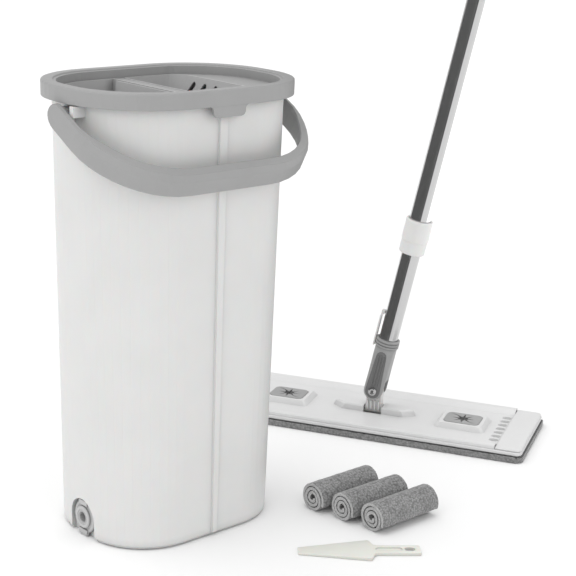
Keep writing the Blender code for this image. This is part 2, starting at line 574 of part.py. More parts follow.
# ---------------------------------------------------------------- mop head
def mop_head(frame, looks):
    pad_corner = HEAD_CORNER + PAD_BORDER
    body("mop_pad", [
        rounded(PAD_LENGTH - 0.004, PAD_WIDTH - 0.004, pad_corner - 0.002, 0.0),
        rounded(PAD_LENGTH, PAD_WIDTH, pad_corner, 0.0020),
        rounded(PAD_LENGTH, PAD_WIDTH, pad_corner, PAD_THICKNESS - 0.0015),
        rounded(PAD_LENGTH - 0.002, PAD_WIDTH - 0.002, pad_corner - 0.001, PAD_THICKNESS)],
        looks["microfibre"], parent=frame)

    plate = body("mop_plate", [
        rounded(HEAD_LENGTH - 0.003, HEAD_WIDTH - 0.003, HEAD_CORNER - 0.0015, PLATE_BOTTOM),
        rounded(HEAD_LENGTH, HEAD_WIDTH, HEAD_CORNER, PLATE_BOTTOM + 0.0012),
        rounded(HEAD_LENGTH, HEAD_WIDTH, HEAD_CORNER, PLATE_TOP - 0.0008),
        rounded(HEAD_LENGTH - 0.0016, HEAD_WIDTH - 0.0016, HEAD_CORNER - 0.0008, PLATE_TOP)],
        looks["plate"], parent=frame)

    low = PLATE_TOP - 0.001
    crest = PLATE_TOP + RAIL_HEIGHT
    risen = []
    for side in (-1, 1):
        outer = side * (HEAD_WIDTH / 2 - 0.0015)
        foot = side * (HEAD_WIDTH / 2 - RAIL_WIDTH)
        section = [(outer, low), (outer, crest - 0.0010), (outer - side * 0.0012, crest),
                   (outer - side * 0.0070, crest), (foot, PLATE_TOP), (foot, low)]
        risen.append([[(x, y, z) for y, z in section] for x in (-RAIL_END, RAIL_END)])
    for end in (-1, 1):
        centre = (end * GRIP_OFFSET, 0.0)
        risen.append([rounded(BOSS_LENGTH, BOSS_WIDTH, 0.004, low, centre),
                      rounded(BOSS_LENGTH - 0.010, BOSS_WIDTH - 0.008, 0.004,
                              PLATE_TOP + BOSS_HEIGHT, centre)])
    ridge_top = PLATE_TOP + RIDGE_HEIGHT

    def ridge(z, drop):
        half = RIDGE_LENGTH / 2 - drop
        width = RIDGE_HALF_WIDTH - drop * 0.35
        point = 0.012
        return [(half, 0.0, z), (half - point, width, z), (-half + point, width, z), (-half, 0.0, z),
                (-half + point, -width, z), (half - point, -width, z)]

    risen.append([ridge(low, -0.003), ridge(ridge_top - 0.0015, 0.0), ridge(ridge_top, 0.003)])
    for k, loops in enumerate(risen):
        combine(plate, group("plate_rise_%d" % (k + 1), [loops], None, parent=frame), "UNION")

    gap = BARREL_LENGTH / 2 + 2 * FIT
    floor = AXLE_HEIGHT - BARREL_RADIUS - FIT
    knuckle_slot = [box_outline(-gap, gap, -0.0105, 0.0105, z) for z in (floor, ridge_top + 0.01)]
    bore = along_x([circle(AXLE_RADIUS + FIT, x, 16)
                    for x in (-AXLE_LENGTH / 2 - FIT, AXLE_LENGTH / 2 + FIT)])
    bore = [[(x, y, z + AXLE_HEIGHT) for x, y, z in loop] for loop in bore]
    pockets = [[rounded(GRIP_LENGTH + 2 * FIT, GRIP_WIDTH + 2 * FIT, 0.006, z, (end * GRIP_OFFSET, 0))
                for z in (PLATE_TOP + BOSS_HEIGHT - GRIP_THICKNESS, PLATE_TOP + BOSS_HEIGHT + 0.01)]
               for end in (-1, 1)]
    wells_under = [[circle(0.0085, z, 16, (end * GRIP_OFFSET, 0))
                    for z in (PLATE_BOTTOM - 0.001, PLATE_TOP + BOSS_HEIGHT)] for end in (-1, 1)]
    scoops = []
    for end in (-1, 1):
        x = end * SCOOP_LINE
        for k in range(SCOOPS):
            y = SCOOP_PITCH * (k - (SCOOPS - 1) / 2)
            scoops.append([rounded(0.0105 * size, 0.0078 * size, 0.0030 * size, z, (x, y), steps=3)
                           for size, z in ((0.62, PLATE_TOP - 0.0028), (1.0, PLATE_TOP + 0.0006))])
    cuts = (("knuckle_slot", [knuckle_slot]), ("axle_bore", [bore]), ("grip_pockets", pockets),
            ("grip_wells", wells_under), ("end_scoops", scoops))
    for name, loops in cuts:
        combine(plate, group(name, loops, None, parent=frame), "DIFFERENCE")

    for name, end in (("end_cap_left", -1), ("end_cap_right", 1)):
        x = end * (HEAD_LENGTH / 2 - END_CAP_LENGTH / 2 - 0.0006)
        tight, wide = 0.0012, HEAD_CORNER - 0.0010
        corners = (wide, tight, tight, wide) if end > 0 else (tight, wide, wide, tight)
        slim = tuple(corner * 0.85 for corner in corners)
        rise = PLATE_TOP + FIT
        body(name, [rounded(END_CAP_LENGTH, HEAD_WIDTH - 0.003, corners, rise, (x, 0)),
                    rounded(END_CAP_LENGTH, HEAD_WIDTH - 0.003, corners, rise + 0.0011, (x, 0)),
                    rounded(END_CAP_LENGTH - 0.0012, HEAD_WIDTH - 0.0042, slim,
                            rise + END_CAP_THICKNESS, (x, 0))], looks["plate"], parent=frame)

    def star(z, scale=1.0):
        """Round mouth with eight slits, on the same count of points as the grip's outline."""
        points = []
        for k in range(32):
            angle = 2 * math.pi * k / 32
            radius = (0.0125, 0.0057, 0.0050, 0.0057)[k % 4] * scale
            points.append((radius * math.cos(angle), radius * math.sin(angle), z))
        return points

    for name, end in (("pad_grip_left", -1), ("pad_grip_right", 1)):
        seat = PLATE_TOP + BOSS_HEIGHT - GRIP_THICKNESS + FIT
        lift = GRIP_THICKNESS
        outline = rounded(GRIP_LENGTH, GRIP_WIDTH, 0.006, 0.0, steps=7)
        first = min(range(32), key=lambda k: abs(math.atan2(outline[k][1], outline[k][0]) - 0.0001))
        outline = outline[first:] + outline[:first]
        rim_low = [(x, y, 0.0) for x, y, _ in outline]
        rim_high = [(x, y, lift) for x, y, _ in outline]
        body(name, [rim_low, rim_high, star(lift), star(0.0)], looks["grey"], ring=True,
             parent=frame, place=(end * GRIP_OFFSET, 0.0, seat))


def knuckle(joint, looks):
    """Barrel on the plate's axle with a tongue up to the neck's pin."""
    barrel = along_x([circle(BARREL_RADIUS, x, 24) for x in (-BARREL_LENGTH / 2, BARREL_LENGTH / 2)])
    made = group("knuckle", [barrel], looks["white"], parent=joint)
    top = PIN_RISE
    half = TONGUE_THICKNESS / 2 - FIT
    outline = [(-TONGUE_RADIUS, 0.0), (TONGUE_RADIUS, 0.0)]
    outline += [(TONGUE_RADIUS * math.cos(math.pi * k / 12),
                 top + TONGUE_RADIUS * math.sin(math.pi * k / 12)) for k in range(13)]
    tongue = [[(x, y, z) for x, z in outline] for y in (-half, half)]
    combine(made, group("knuckle_tongue", [tongue], None, parent=joint), "UNION")
    ribs = []
    for k in range(4):
        x = 0.0042 * (k - 1.5)
        ribs.append([box_outline(x - 0.0008, x + 0.0008, -half - 0.0014, half + 0.0014, z)
                     for z in (0.0, top - NECK_HALF_WIDTH - 0.0022)])
    combine(made, group("knuckle_ribs", ribs, None, parent=joint), "UNION")
    bore = along_x([circle(AXLE_RADIUS + FIT, x, 16) for x in (-0.02, 0.02)])
    pin_bore = [[(x, z, y + top) for x, y, z in circle(PIN_RADIUS + FIT, w, 16)] for w in (-0.02, 0.02)]
    combine(made, group("knuckle_bore", [bore], None, parent=joint), "DIFFERENCE")
    combine(made, group("tongue_bore", [pin_bore], None, parent=joint), "DIFFERENCE")
    axle = along_x([circle(AXLE_RADIUS, x, 16) for x in (-AXLE_LENGTH / 2, AXLE_LENGTH / 2)])
    body("knuckle_axle", axle, looks["steel"], parent=joint)


def teardrop(radius_low, radius_high, top, y):
    """Long drop standing on the pin, in the plane of the neck's side."""
    points = []
    for k in range(9):
        angle = math.pi + math.pi * k / 8
        points.append((radius_low * math.cos(angle), y, radius_low * math.sin(angle)))
    for k in range(7):
        angle = math.pi * k / 6
        points.append((radius_high * math.cos(angle), y,
                       top - radius_high + radius_high * math.sin(angle)))
    return points


def neck(joint, looks):
    steps = 7
    count = 4 * (steps + 1)
    loops = []
    for t in (-0.97, -0.85, -0.6, -0.3):
        width = NECK_HALF_WIDTH * math.sqrt(1 - t * t)
        loops.append(rounded(2 * width, 2 * NECK_HALF_DEPTH, min(0.0024, width * 0.8),
                             t * NECK_HALF_WIDTH, steps=steps))
    loops.append(rounded(2 * NECK_HALF_WIDTH, 2 * NECK_HALF_DEPTH, 0.0030, 0.0, steps=steps))
    loops.append(rounded(2 * NECK_HALF_WIDTH, 2 * NECK_HALF_DEPTH, 0.0045, 0.020, steps=steps))
    loops.append(rounded(2 * NECK_HALF_WIDTH + 0.001, 2 * NECK_HALF_DEPTH, 0.0070, INLAY_TOP,
                         steps=steps))
    ring_start = NECK_LENGTH - 0.0098
    loops.append(circle(NECK_TOP_RADIUS - 0.0012, ring_start, count))
    for k in range(3):
        z = ring_start + 0.0032 * k
        loops.append(circle(NECK_TOP_RADIUS, z + 0.0006, count))
        loops.append(circle(NECK_TOP_RADIUS, z + 0.0022, count))
        loops.append(circle(NECK_TOP_RADIUS - 0.0012, z + 0.0028, count))
    fork = body("neck_fork", loops, looks["grey"], parent=joint)

    slot_half = TONGUE_THICKNESS / 2 + FIT
    slot = [box_outline(-0.02, 0.02, -slot_half, slot_half, z) for z in (-0.02, EAR_SLOT_TOP)]
    socket = [circle(LOWER_TUBE_RADIUS + FIT, z, 24) for z in (SOCKET_START - FIT, NECK_LENGTH + 0.01)]
    pin_bore = [[(x, z, y) for x, y, z in circle(PIN_RADIUS + FIT, w, 16)] for w in (-0.02, 0.02)]
    floor = NECK_HALF_DEPTH - INLAY_DEPTH
    pockets = []
    for side in (-1, 1):
        pockets.append([teardrop(INLAY_RADIUS + FIT, 0.0052 + FIT, INLAY_TOP + FIT, side * depth)
                        for depth in (floor, NECK_HALF_DEPTH + 0.004)])
    for name, loops in (("ear_slot", [slot]), ("tube_socket", [socket]), ("fork_bore", [pin_bore]),
                        ("inlay_pockets", pockets)):
        combine(fork, group(name, loops, None, parent=joint), "DIFFERENCE")

    for name, side in (("neck_inlay_front", -1), ("neck_inlay_back", 1)):
        inner = side * (floor + FIT)
        outer = side * (NECK_HALF_DEPTH - 0.0002)
        inlay = body(name, [teardrop(INLAY_RADIUS, 0.0052, INLAY_TOP, w) for w in (inner, outer)],
                     looks["dark"], parent=joint)
        bars = []
        for k in (-1, 0, 1):
            x = 0.0030 * k
            faces = [box_outline(x - 0.0006, x + 0.0006, outer - side * 0.0004, outer + side * 0.0006, z)
                     for z in (0.0065, INLAY_TOP - 0.0035 - 0.001 * abs(k))]
            bars.append(faces)
        combine(inlay, group(name + "_bars", bars, None, parent=joint), "UNION")
        hole = [[(x, z, y) for x, y, z in circle(PIN_RADIUS + FIT, w, 16)]
                for w in (side * 0.005, side * 0.02)]
        combine(inlay, group(name + "_bore", [hole], None, parent=joint), "DIFFERENCE")

    head = NECK_HALF_DEPTH + FIT
    profile = [(0.0016, -head + 0.003), (0.0016, -head - 0.0014), (0.0030, -head - 0.0016),
               (PIN_HEAD_RADIUS, -head - 0.0008), (PIN_HEAD_RADIUS, -head), (PIN_RADIUS, -head)]
    profile += [(radius, -z) for radius, z in profile[::-1]]
    turned("neck_pin", profile, looks["steel"], parent=joint, turn=(math.radians(90), 0, 0), steps=20)

    reach = NECK_TOP_RADIUS + FIT
    tube_side = LOWER_TUBE_RADIUS + FIT
    strip = [(-reach, 0.048), (-reach - 0.0016, 0.048), (-reach - 0.0016, 0.082),
             (-reach - 0.0010, 0.0835), (-reach - 0.0010, 0.0885), (-tube_side, 0.0885),
             (-tube_side, 0.0855), (-reach, 0.0825)]
    body("latch_clip", [[(x, y, z) for x, z in strip] for y in (-0.003, 0.003)], looks["white"],
         parent=joint)


def tube_profile(radius, wall, start, length):
    end = start + length
    return [(radius - wall, start), (radius, start), (radius, end), (radius - wall, end)]


def pole(joint, looks):
    turned("lower_tube", tube_profile(LOWER_TUBE_RADIUS, TUBE_WALL, SOCKET_START, LOWER_TUBE_LENGTH),
           looks["steel"], True, parent=joint)
    slip = LOWER_TUBE_RADIUS + FIT
    over = UPPER_TUBE_RADIUS + FIT
    bore = COLLAR_RADIUS - 0.0012
    start = COLLAR_START
    end = COLLAR_START + COLLAR_LENGTH
    turned("lock_collar", [
        (slip, start), (COLLAR_RADIUS - 0.0008, start), (COLLAR_RADIUS, start + 0.0010),
        (COLLAR_RADIUS, start + 0.0130), (COLLAR_RADIUS + 0.0006, start + 0.0145),
        (COLLAR_RADIUS + 0.0006, end - 0.0010), (COLLAR_RADIUS - 0.0002, end), (over, end),
        (over, COLLAR_STEP), (bore, COLLAR_STEP), (bore, start + 0.0030), (slip, start + 0.0030)],
        looks["white"], True, parent=joint)
    turned("lock_collet", [
        (slip, start + 0.0030 + FIT), (bore - FIT, start + 0.0030 + FIT),
        (bore - FIT - 0.0006, COLLAR_STEP - FIT), (slip, COLLAR_STEP - FIT)],
        looks["grey"], True, parent=joint, steps=24)
    upper = COLLAR_STEP + FIT
    turned("upper_tube", tube_profile(UPPER_TUBE_RADIUS, TUBE_WALL, upper, UPPER_TUBE_LENGTH),
           looks["steel"], True, parent=joint)
    top = upper + UPPER_TUBE_LENGTH
    low = top - HAND_GRIP_LENGTH
    turned("hand_grip", [
        (over, low), (GRIP_TUBE_RADIUS - 0.0022, low), (GRIP_TUBE_RADIUS - 0.0008, low + 0.003),
        (GRIP_TUBE_RADIUS, low + HAND_GRIP_LENGTH * 0.35),
        (GRIP_TUBE_RADIUS - 0.0008, low + HAND_GRIP_LENGTH * 0.7),
        (GRIP_TUBE_RADIUS, top - 0.004), (GRIP_TUBE_RADIUS - 0.001, top), (over, top)],
        looks["grey"], True, parent=joint)

    seat = top + FIT
    plug = UPPER_TUBE_RADIUS - TUBE_WALL - FIT
    brim = GRIP_TUBE_RADIUS - 0.001
    cap = turned("hanger_cap", [(plug, seat - 0.018), (plug, seat), (brim, seat), (brim, seat + 0.005),
                                (brim - 0.002, seat + 0.007)], looks["grey"], parent=joint)
    eye = seat + HANGER_HEIGHT - 0.0125
    ring = []
    for y, radius in ((-0.004, 0.0115), (-0.003, 0.0125), (0.003, 0.0125), (0.004, 0.0115)):
        arc = [(radius * math.cos(math.pi * k / 12), y, eye + radius * math.sin(math.pi * k / 12))
               for k in range(13)]
        ring.append([(radius, y, seat + 0.0055)] + arc + [(-radius, y, seat + 0.0055)])
    combine(cap, group("hanger_loop", [ring], None, parent=joint), "UNION")
    hole = [[(x, z, y + eye) for x, y, z in circle(0.0065, w, 20)] for w in (-0.02, 0.02)]
    combine(cap, group("hanger_eye", [hole], None, parent=joint), "DIFFERENCE")


# ---------------------------------------------------------------- loose pieces
def cloth_roll(index, look):
    """A sheet wound into a spiral, lying on the floor, with its free edge at the bottom."""
    step = ROLL_SHEET + 0.00045
    inner = ROLL_RADIUS - step * ROLL_TURNS
    pieces = 22
    total = int(ROLL_TURNS * pieces)
    outer_line = []
    inner_line = []
    for k in range(total + 1):
        turns = k / pieces
        angle = math.radians(200) - 2 * math.pi * (ROLL_TURNS - turns)
        radius = inner + step * turns
        outer_line.append((radius * math.cos(angle), radius * math.sin(angle)))
        core = radius - ROLL_SHEET
        inner_line.append((core * math.cos(angle), core * math.sin(angle)))
    outline = outer_line + inner_line[::-1]
    loops = [[(x, y, z) for y, z in outline] for x in (0.0, ROLL_LENGTH)]
    lowest = min(z for _, z in outline)
    return body("cloth_roll_%d" % index, loops, look, crease=50,
                place=(ROLL_PLACE[0] + ROLL_STEP * (index - 1), ROLL_PLACE[1] - ROLL_PITCH * (index - 1),
                       -lowest))


def scraper(look):
    tip = SCRAPER_TIP_WIDTH / 2
    root = SCRAPER_ROOT_WIDTH / 2
    grip = SCRAPER_HANDLE_WIDTH / 2
    half = [(0.0, tip), (SCRAPER_BLADE - 0.0015, root), (SCRAPER_BLADE, root - 0.0015),
            (SCRAPER_BLADE + 0.0018, grip + 0.0040), (SCRAPER_BLADE + 0.0032, grip + 0.0012),
            (SCRAPER_BLADE + 0.0060, grip), (SCRAPER_LENGTH - 0.0012, grip),
            (SCRAPER_LENGTH, grip - 0.0012)]
    shape = [(x, -y) for x, y in half] + half[::-1]
    loops = [[(x, y, z) for x, y in shape] for z in (0.0, SCRAPER_THICKNESS)]
    made = body("scraper", loops, look, place=SCRAPER_PLACE, turn=(0.0, 0.0, SCRAPER_TURN))
    lift = SCRAPER_THICKNESS
    hole = [rounded(0.0095, 0.0070, 0.0034, z, (SCRAPER_LENGTH - 0.0095, 0.0), steps=5)
            for z in (-0.01, 0.01)]
    groove = [rounded(SCRAPER_LENGTH - SCRAPER_BLADE - 0.020, 0.0072, 0.0034, z,
                      ((SCRAPER_LENGTH + SCRAPER_BLADE) / 2 - 0.0060, 0.0), steps=4)
              for z in (lift - 0.0012, lift + 0.01)]
    combine(made, group("scraper_cuts", [hole], None, place=SCRAPER_PLACE,
                        turn=(0.0, 0.0, SCRAPER_TURN)), "DIFFERENCE")
    combine(made, group("scraper_groove", [groove], None, place=SCRAPER_PLACE,
                        turn=(0.0, 0.0, SCRAPER_TURN)), "DIFFERENCE")
    return made


# ---------------------------------------------------------------- assembly
def main():
    for old in list(bpy.data.objects):
        bpy.data.objects.remove(old)

    looks = {
        "shell": material("ivory_polypropylene", (0.75, 0.75, 0.74), 0.42),
        "grey": material("grey_polypropylene", (0.33, 0.33, 0.33), 0.45),
        "light": material("light_grey_polypropylene", (0.52, 0.52, 0.52), 0.45),
        "plate": material("white_abs", (0.78, 0.78, 0.78), 0.35),
        "white": material("white_polypropylene", (0.76, 0.76, 0.75), 0.40),
        "dark": material("dark_grey_rubber", (0.13, 0.13, 0.13), 0.60),
        "steel": material("stainless_steel", (0.62, 0.62, 0.62), 0.18, 1.0),
        "microfibre": material("grey_microfibre", (0.20, 0.20, 0.20), 0.95),
        "scraper": material("ivory_scraper", (0.80, 0.80, 0.77), 0.40),
    }

    bucket_shell(looks["shell"])
    drain(looks["light"], looks["grey"], looks["dark"])
    rim_frame(looks["grey"])
    wells(looks["grey"], looks["light"], looks["dark"])
    bail_handle(looks["grey"])

    mop = empty("mop_frame", MOP_PLACE, (0.0, 0.0, MOP_TURN))
    mop_head(mop, looks)
    knuckle_joint = empty("knuckle_joint", (0.0, 0.0, AXLE_HEIGHT), parent=mop)
    knuckle(knuckle_joint, looks)
    neck_joint = empty("neck_joint", (0.0, 0.0, PIN_RISE), (0.0, POLE_LEAN, 0.0), knuckle_joint)
    neck(neck_joint, looks)
    pole(neck_joint, looks)

    for index in (1, 2, 3):
        cloth_roll(index, looks["microfibre"])
    scraper(looks["scraper"])


main()
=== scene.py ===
# %% [markdown]
# # Flat mop, self-wringing bucket and their small pieces
#
# The bucket stands on its own base. A grey rim frame snaps over its mouth and carries two wells:
# one where the pad is rinsed, and one where it is pressed dry. The mop stands beside it on its
# pad, and three rolled spare pads and a scraper lie in front. Every piece was laid out in CAD
# first. This lesson loads that frame and gives each piece the surface it has on the real thing.

import math
import random

import bpy
from mathutils import Matrix, Vector


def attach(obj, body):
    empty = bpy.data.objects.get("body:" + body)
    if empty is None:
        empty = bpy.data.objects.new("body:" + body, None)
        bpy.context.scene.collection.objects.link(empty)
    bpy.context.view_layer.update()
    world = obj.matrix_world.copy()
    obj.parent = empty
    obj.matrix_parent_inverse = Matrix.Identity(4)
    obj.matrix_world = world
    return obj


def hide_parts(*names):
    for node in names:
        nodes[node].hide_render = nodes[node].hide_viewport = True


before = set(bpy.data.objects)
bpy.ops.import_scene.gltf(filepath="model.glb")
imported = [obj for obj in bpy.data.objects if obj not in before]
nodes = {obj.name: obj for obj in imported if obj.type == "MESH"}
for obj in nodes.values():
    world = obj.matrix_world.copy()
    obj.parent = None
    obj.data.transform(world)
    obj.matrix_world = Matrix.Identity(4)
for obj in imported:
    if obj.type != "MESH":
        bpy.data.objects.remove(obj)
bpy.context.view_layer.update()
random.seed(7)

# %% [markdown]
# ## Helpers for materials
#
# Colours are written as sRGB hex values, but a shader works in linear light, so one function
# converts them. Another adds a node with its settings and links in one call, and a third starts
# a material with its plain values set, which keeps the materials short enough to read.

# %% Colour and node helpers
def colour(code):
    """sRGB hex to linear RGBA."""
    channels = [int(code[k:k + 2], 16) / 255 for k in (0, 2, 4)]
    return tuple(c / 12.92 if c <= 0.04045 else ((c + 0.055) / 1.055) ** 2.4
                 for c in channels) + (1.0,)


def add(tree, kind, settings=None, **links):
    """Add one node; settings are attributes or sockets, links name sockets fed by outputs."""
    node = tree.nodes.new("ShaderNode" + kind)
    for name, value in (settings or {}).items():
        if name in node.inputs:
            node.inputs[name].default_value = value
        else:
            setattr(node, name, value)
    for name, output in links.items():
        tree.links.new(output, node.inputs[name.replace("_", " ")])
    return node


def new_material(name, **sockets):
    made = bpy.data.materials.new(name)
    made.use_nodes = True
    tree = made.node_tree
    shader = tree.nodes["Principled BSDF"]
    for key, value in sockets.items():
        shader.inputs[key.replace("_", " ")].default_value = value
    return made, tree, shader


print("white paper is", tuple(round(c, 2) for c in colour("F4F4F2")))

# %% [markdown]
# ## Moulded plastics
#
# The bucket, rim, wells, bail and mop fittings are injection-moulded polypropylene. The mould is
# spark eroded, which leaves a fine grain, and the melt cools with faint clouds of colour. So the
# material has a low cloud pattern in its colour, a grain of about 0.4 mm in its bump, drawn
# coarser than the real one so that it shows, and light scuffs in its roughness. Inside corners
# get painted shade in their colour, a little darker, as if less light got into them, and outside
# edges are softened in the shading only, so that the CAD piece keeps its shape. Polypropylene's
# index of refraction is 1.49. ABS, used for the mop's plate, has 1.53 and a smoother surface.

# %% Moulded plastic
PP_IOR = 1.49
ABS_IOR = 1.53
PAINTED_SHADE_REACH = 0.010          # how far from an inside corner its shade goes
PAINTED_CORNER_SHADE = 0.45           # how much of that shade shows
SCUFFS_PER_METRE = 160.0
SMOOTHER, ROUGHER = 0.05, 0.07


def moulded(name, code, shade_code, roughness, ior=PP_IOR, grain=0.0004, grain_height=0.00001,
            cloud=0.045, scatter=0.0, edge=0.0006):
    """Injection-moulded plastic: clouded colour, painted corner shade, spark grain, scuffed
    roughness, soft edges.
    """
    made, tree, shader = new_material(name, IOR=ior, Subsurface_Weight=scatter,
                                      Subsurface_Scale=0.002)
    place = add(tree, "TexCoord").outputs["Object"]
    clouds = add(tree, "TexNoise", {"Scale": 1 / cloud, "Detail": 3.0}, Vector=place)
    tone = add(tree, "Mix", {"data_type": "RGBA"})
    tone.inputs[6].default_value = colour(code)
    tone.inputs[7].default_value = colour(shade_code)
    tree.links.new(clouds.outputs[0], tone.inputs[0])
    # Painted shade: ambient occlusion darkens the colour in inside corners.
    corner = add(tree, "AmbientOcclusion", {"samples": 8, "Distance": PAINTED_SHADE_REACH},
                 Color=tone.outputs[2])
    blend = add(tree, "Mix", {"data_type": "RGBA"})
    blend.inputs[0].default_value = PAINTED_CORNER_SHADE
    tree.links.new(tone.outputs[2], blend.inputs[6])
    tree.links.new(corner.outputs[0], blend.inputs[7])
    tree.links.new(blend.outputs[2], shader.inputs["Base Color"])
    scuffs = add(tree, "TexNoise", {"Scale": SCUFFS_PER_METRE, "Detail": 6.0, "Roughness": 0.7},
                 Vector=place)
    rough = add(tree, "MapRange", {"From Min": 0.3, "From Max": 0.7,
                                   "To Min": roughness - SMOOTHER,
                                   "To Max": roughness + ROUGHER}, Value=scuffs.outputs[0])
    tree.links.new(rough.outputs[0], shader.inputs["Roughness"])
    spark = add(tree, "TexNoise", {"Scale": 1 / grain, "Detail": 2.0}, Vector=place)
    soft = add(tree, "Bevel", {"samples": 4, "Radius": edge})
    bump = add(tree, "Bump", {"Strength": 0.5, "Distance": grain_height}, Height=spark.outputs[0],
               Normal=soft.outputs[0])
    tree.links.new(bump.outputs[0], shader.inputs["Normal"])
    return made


ivory = moulded("moulded_ivory_polypropylene", "E0E0DF", "D8D8D7", 0.40, scatter=0.15)
grey = moulded("moulded_grey_polypropylene", "A3A3A3", "9A9A9A", 0.46)
# The wells' grey is lighter than the rim's, partly painted light for their lit inner walls.
well_grey_painted_lighter = moulded("moulded_well_polypropylene", "BEBEBE", "B6B6B6", 0.45)
light_grey = moulded("moulded_light_grey_polypropylene", "C4C4C4", "BCBCBC", 0.45)
white = moulded("moulded_white_polypropylene", "E6E6E5", "DFDFDE", 0.38, scatter=0.15)
abs_white = moulded("moulded_white_abs", "E0E0E0", "D9D9D9", 0.34, ior=ABS_IOR, grain=0.0012,
                    grain_height=0.000002)
scraper_ivory = moulded("ivory_scraper_polypropylene", "EAEBE4", "E2E3DB", 0.42, scatter=0.2)
print("moulded plastics:", [m.name for m in (ivory, grey, light_grey, white, abs_white)])

# %% [markdown]
# ## Rubber and steel
#
# Seals, lips and inlays are soft dark rubber with a dry, even surface. The two tubes of the pole
# are thin stainless steel, drawn and polished, so they mirror the room with very fine scratches
# that run along the tube. A metal keeps the default index of refraction.

# %% Rubber and drawn steel
RUBBER_IOR = 1.52
LINES_ACROSS, LINES_ALONG = 2500.0, 18.0      # draw lines, per metre


def rubber(name, code, shade_code, roughness):
    """Soft rubber: the same pattern as plastic, finer and drier."""
    return moulded(name, code, shade_code, roughness, ior=RUBBER_IOR, grain=0.0003, cloud=0.02)


def drawn_steel(name, code, roughness, axis):
    """Polished tube with fine draw lines along one direction of the row frame."""
    made, tree, shader = new_material(name, Metallic=1.0)
    shader.inputs["Base Color"].default_value = colour(code)
    place = add(tree, "TexCoord").outputs["Object"]
    turn = Vector((0, 0, 1)).rotation_difference(Vector(axis)).inverted().to_euler()
    along = add(tree, "Mapping", {"vector_type": "POINT", "Rotation": turn}, Vector=place)
    draw = (LINES_ACROSS, LINES_ACROSS, LINES_ALONG)
    squeeze = add(tree, "Mapping", {"vector_type": "POINT", "Scale": draw},
                  Vector=along.outputs[0])
    lines = add(tree, "TexNoise", {"Scale": 1.0, "Detail": 2.0}, Vector=squeeze.outputs[0])
    rough = add(tree, "MapRange", {"From Min": 0.35, "From Max": 0.65, "To Min": roughness * 0.7,
                                   "To Max": roughness * 1.4}, Value=lines.outputs[0])
    tree.links.new(rough.outputs[0], shader.inputs["Roughness"])
    bump = add(tree, "Bump", {"Strength": 0.15, "Distance": 0.00001}, Height=lines.outputs[0])
    tree.links.new(bump.outputs[0], shader.inputs["Normal"])
    return made


MOP_TURN = math.radians(-61.0)
POLE_LEAN = math.radians(11.5)
pole_axis = Vector((math.cos(MOP_TURN) * math.sin(POLE_LEAN),
                    math.sin(MOP_TURN) * math.sin(POLE_LEAN), math.cos(POLE_LEAN)))
dark = rubber("soft_dark_rubber", "7A7A7A", "727272", 0.62)
foam = rubber("grey_grip_rubber", "8E8E8E", "858585", 0.70)
steel = drawn_steel("drawn_stainless_steel", "C9C9C9", 0.14, pole_axis)
pin_steel = drawn_steel("turned_stainless_steel", "C9C9C9", 0.20, (0, 0, 1))
print("steel and rubber ready; the pole leans", round(math.degrees(POLE_LEAN), 1), "degrees")

# %% [markdown]
# ## Give each CAD piece its finish
#
# A CAD piece whose shape is right stays as it is, and only its material slot changes.

# %% Assign finishes
FINISHES = {
    ivory: ("bucket_shell",),
    grey: ("rim_frame", "bail_handle", "neck_fork",
           "pad_grip_left", "pad_grip_right", "lock_collet", "hanger_cap"),
    # The wells and the wash panel are a lighter grey than the rim, partly painted light for the light
    # that falls on their inner walls.
    well_grey_painted_lighter: ("wring_well", "wash_well"),
    light_grey: ("wash_panel", "drain_spout", "drain_nut", "drain_plug"),
    abs_white: ("mop_plate", "end_cap_left", "end_cap_right"),
    white: ("knuckle", "latch_clip", "lock_collar"),
    dark: ("drain_seal", "wring_lip_left", "wring_lip_right", "neck_inlay_front",
           "neck_inlay_back"),
    foam: ("hand_grip",),
    steel: ("lower_tube", "upper_tube"),
    pin_steel: ("neck_pin", "knuckle_axle"),
}
for finish, names in FINISHES.items():
    for name in names:
        nodes[name].material_slots[0].material = finish
print(sum(len(names) for names in FINISHES.values()), "pieces have a finish")

# %% [markdown]
# ## The microfibre pad
#
# The working pad is a 6 mm sandwich: dense microfibre loops under a thin backing that grips the
# plate. It is soft at its edge, where the loops roll out past the plate, and flat where the plate
# presses it to the floor. A slab with round corners gets a rolled edge and is remeshed into even
# cells, and the loops are small bumps moved along the surface normal, so the pile is real geometry
# and not only shade.

# %% Microfibre material
LOOP = 0.0022


